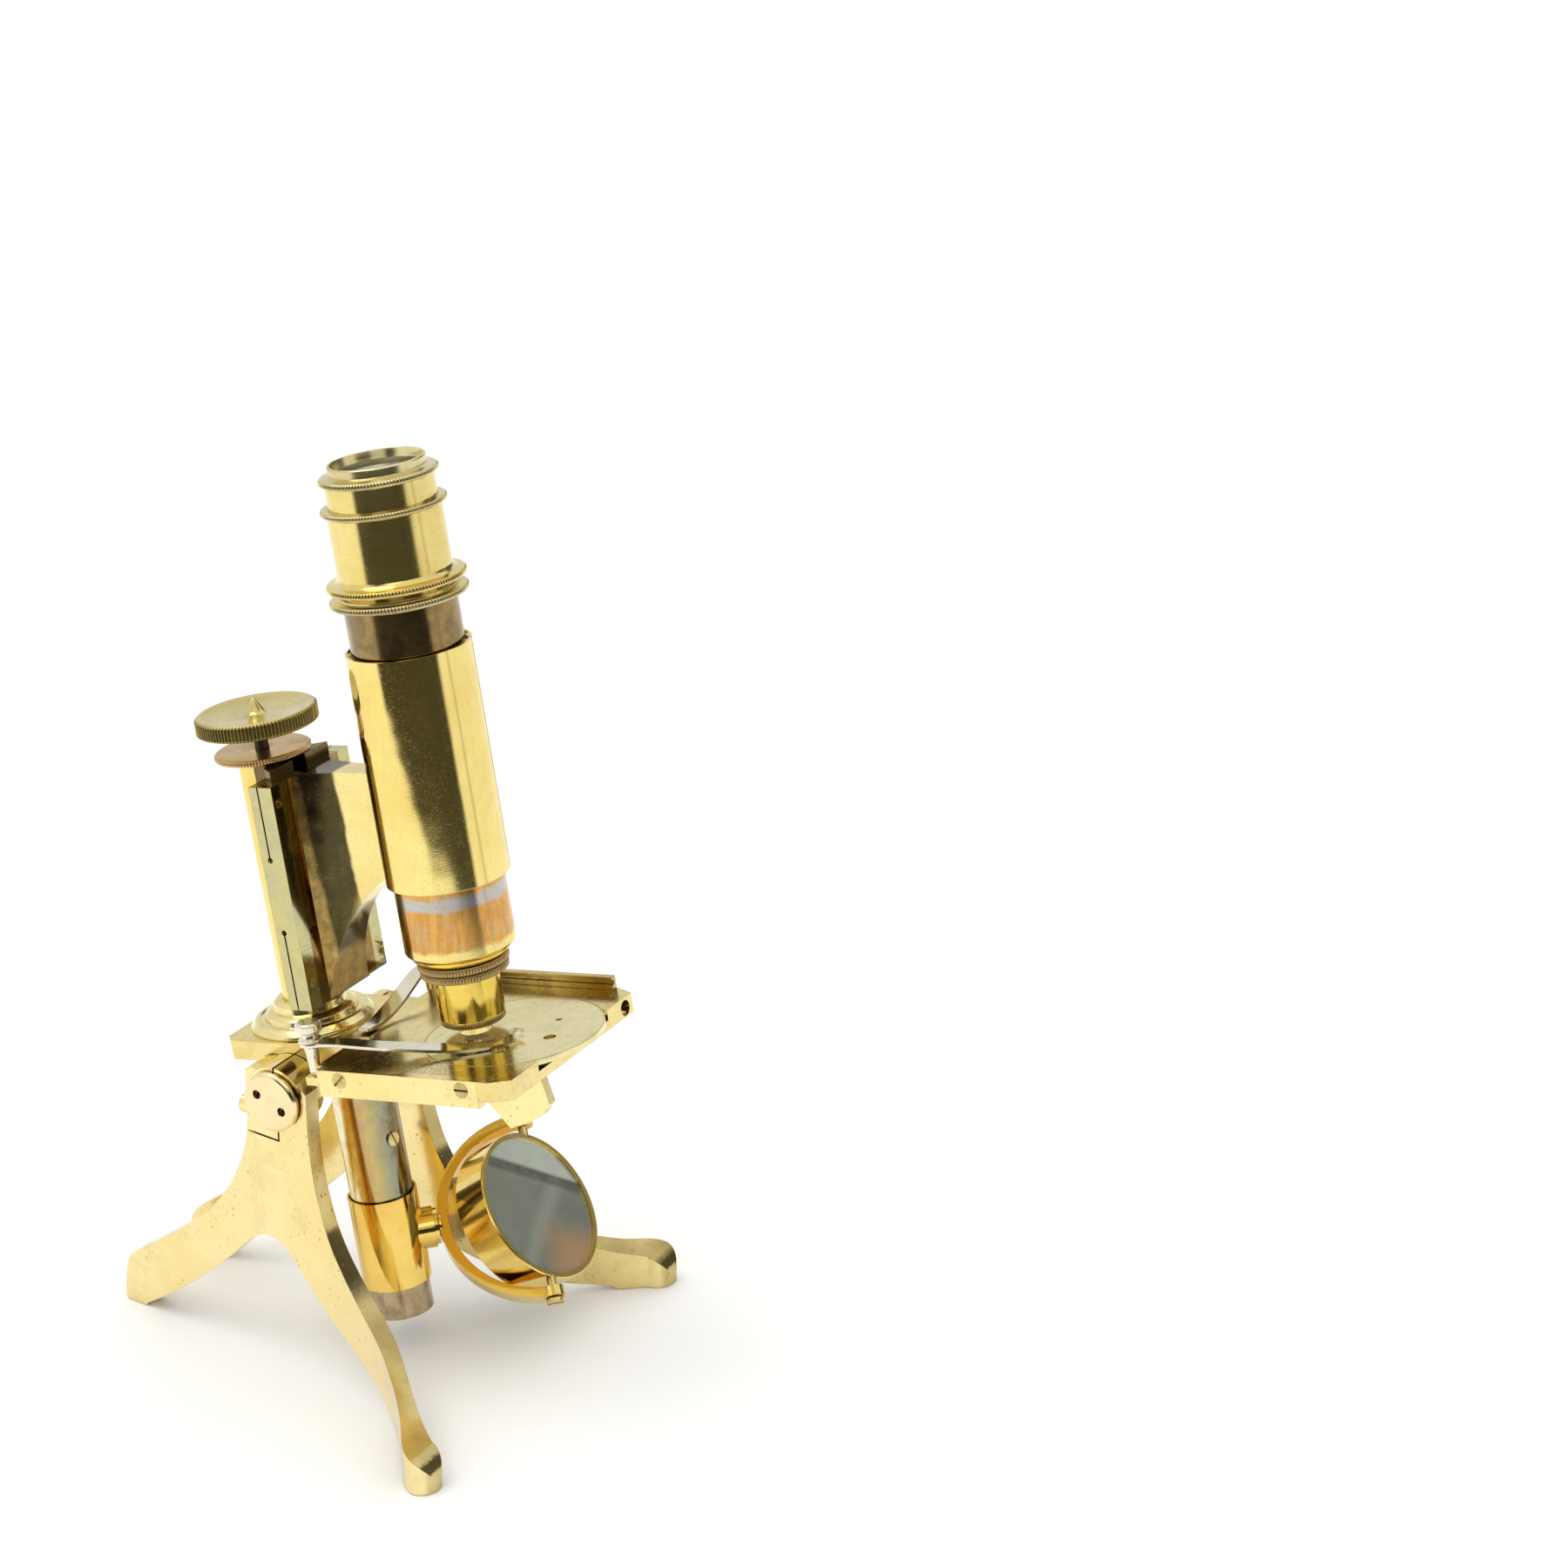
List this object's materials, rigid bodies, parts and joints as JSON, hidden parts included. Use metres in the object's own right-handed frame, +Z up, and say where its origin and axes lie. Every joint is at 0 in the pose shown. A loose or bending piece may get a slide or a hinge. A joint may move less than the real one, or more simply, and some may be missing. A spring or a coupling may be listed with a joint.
{
  "type": "antique brass compound microscope",
  "caption": "Inclining brass compound microscope on splayed legs, with sliding focus tube, screw fine focus, stage with diaphragm disc and clips, and a gimballed mirror.",
  "frame": {"origin": "on the ground, at the centre of the footprint box of the whole instrument", "axes": "+Z up, -Y towards the stage front and mirror, +Y towards the pillar and the observer, X across the stage"},
  "size_m": [0.1292, 0.1404, 0.248],
  "materials": {
    "leg_brass": "worn polished, cast edges",
    "stage_brass": "polished with dirt in the corners",
    "dark_brass": "tarnished",
    "bright_brass": "polished",
    "limb_brass": "lacquered, greenish",
    "brown_brass": "oxidised",
    "rose_brass": "lacquered, rose",
    "pink_brass": "polished, pinkish",
    "orange_lacquer": "gold lacquer, worn",
    "violet_lacquer": "iridescent old lacquer",
    "nickel": "nickel plated, worn",
    "screw_steel": "dull",
    "dark_steel": "blackened",
    "lens_glass": "clear",
    "mirror_silver": "silvered glass",
    "cloth": "thin cloth lining"
  },
  "bodies": {
    "foot": {"leg_left": "leg_brass", "leg_right": "leg_brass", "bearing_cap_left": "leg_brass", "bearing_cap_right": "leg_brass", "cap_screws": "screw_steel", "trunnion_axle": "pink_brass", "axle_nuts": "pink_brass"},
    "stage": {"stage_plate": "stage_brass", "cheek_left": "stage_brass", "cheek_right": "stage_brass", "cheek_screws": "stage_brass", "corner_screw": "stage_brass", "object_fence": "dark_brass", "trunnion_bearing": "pink_brass", "tail_tube": "violet_lacquer", "tail_screw": "screw_steel", "substage_bracket": "dark_brass", "disc_pivot_screw": "screw_steel", "detent_spring": "screw_steel", "pillar_base": "bright_brass", "pillar": "bright_brass", "pillar_screw": "screw_steel", "pillar_slide": "brown_brass", "pillar_collar": "rose_brass"},
    "diaphragm": {"diaphragm_disc": "bright_brass"},
    "clip_left": {"clip_post_left": "nickel", "clip_spring_left": "nickel"},
    "clip_right": {"clip_post_right": "nickel", "clip_spring_right": "nickel"},
    "fine_focus": {"focus_knob": "dark_brass", "focus_screw": "dark_steel"},
    "carriage": {"limb": "limb_brass", "gib_screws": "screw_steel", "slide_nut": "bright_brass", "body_sleeve": "bright_brass", "sleeve_lining": "cloth"},
    "body_tube_group": {"body_tube": "orange_lacquer", "body_collar": "bright_brass", "nosepiece": "orange_lacquer", "nose_ring": "bright_brass", "objective_ring": "bright_brass", "objective_barrel": "bright_brass", "objective_tip": "bright_brass", "objective_lens": "lens_glass"},
    "draw_group": {"draw_tube": "orange_lacquer", "draw_head": "bright_brass", "draw_rim": "bright_brass"},
    "eyepiece": {"eyepiece_barrel": "bright_brass", "eyepiece_cap": "bright_brass", "eye_lens": "lens_glass", "field_lens": "lens_glass"},
    "tail_slider": {"sleeve_lining_tail": "cloth"},
    "mirror_arm": {"mirror_sleeve": "violet_lacquer"},
    "gimbal_group": {"gimbal_pin": "bright_brass", "gimbal": "bright_brass", "gimbal_screws": "bright_brass"},
    "mirror_group": {"mirror_cell": "bright_brass", "mirror_plane": "mirror_silver", "mirror_concave": "mirror_silver"}
  },
  "joints": [
    {"name": "incline", "type": "hinge", "parent": "foot", "child": "stage", "pos_m": [0, 0.00978, 0.07846], "axis": [-1, 0, 0], "range_deg": [0, 80]},
    {"name": "diaphragm_turn", "type": "hinge", "parent": "stage", "child": "diaphragm", "pos_m": [0, -0.047, 0.09839], "axis": [0, 0.1564, 0.9877], "continuous": true},
    {"name": "clip_left_swing", "type": "hinge", "parent": "stage", "child": "clip_left", "pos_m": [-0.0274, -0.00371, 0.09234], "axis": [0, 0.1564, 0.9877], "range_deg": [-60, 3]},
    {"name": "clip_right_swing", "type": "hinge", "parent": "stage", "child": "clip_right", "pos_m": [0.0274, -0.00371, 0.09234], "axis": [0, 0.1564, 0.9877], "range_deg": [-3, 24]},
    {"name": "fine_focus_turn", "type": "hinge", "parent": "stage", "child": "fine_focus", "pos_m": [0, 0.02826, 0.16827], "axis": [0, 0.1564, 0.9877], "range_deg": [-720, 1440]},
    {"name": "carriage_slide", "type": "slide", "parent": "stage", "child": "carriage", "axis": [0, 0.1564, 0.9877], "range_m": [-0.0011, 0.0021]},
    {"name": "coarse_focus", "type": "slide", "parent": "carriage", "child": "body_tube_group", "axis": [0, 0.1564, 0.9877], "range_m": [0, 0.045]},
    {"name": "draw_slide", "type": "slide", "parent": "body_tube_group", "child": "draw_group", "axis": [0, 0.1564, 0.9877], "range_m": [0, 0.035]},
    {"name": "eyepiece_slide", "type": "slide", "parent": "draw_group", "child": "eyepiece", "axis": [0, 0.1564, 0.9877], "range_m": [0, 0.012]},
    {"name": "mirror_height", "type": "slide", "parent": "stage", "child": "tail_slider", "axis": [0, 0.1564, 0.9877], "range_m": [-0.0025, 0.012]},
    {"name": "mirror_swing", "type": "hinge", "parent": "tail_slider", "child": "mirror_arm", "pos_m": [0, -0.00556, 0.03017], "axis": [0, 0.1564, 0.9877], "range_deg": [-57, 1]},
    {"name": "gimbal_turn", "type": "hinge", "parent": "mirror_arm", "child": "gimbal_group", "pos_m": [0.02407, -0.03712, 0.03516], "axis": [0.6018, -0.7888, 0.1249], "range_deg": [0, 25]},
    {"name": "mirror_tilt", "type": "hinge", "parent": "gimbal_group", "child": "mirror_group", "pos_m": [0.02407, -0.03712, 0.03516], "axis": [0.5735, 0.5357, 0.6197], "range_deg": [-20, 7]}
  ],
  "couplings": [
    {"joint": "carriage_slide", "follows": "fine_focus_turn", "m_per_rad": 0.000079577}
  ]
}
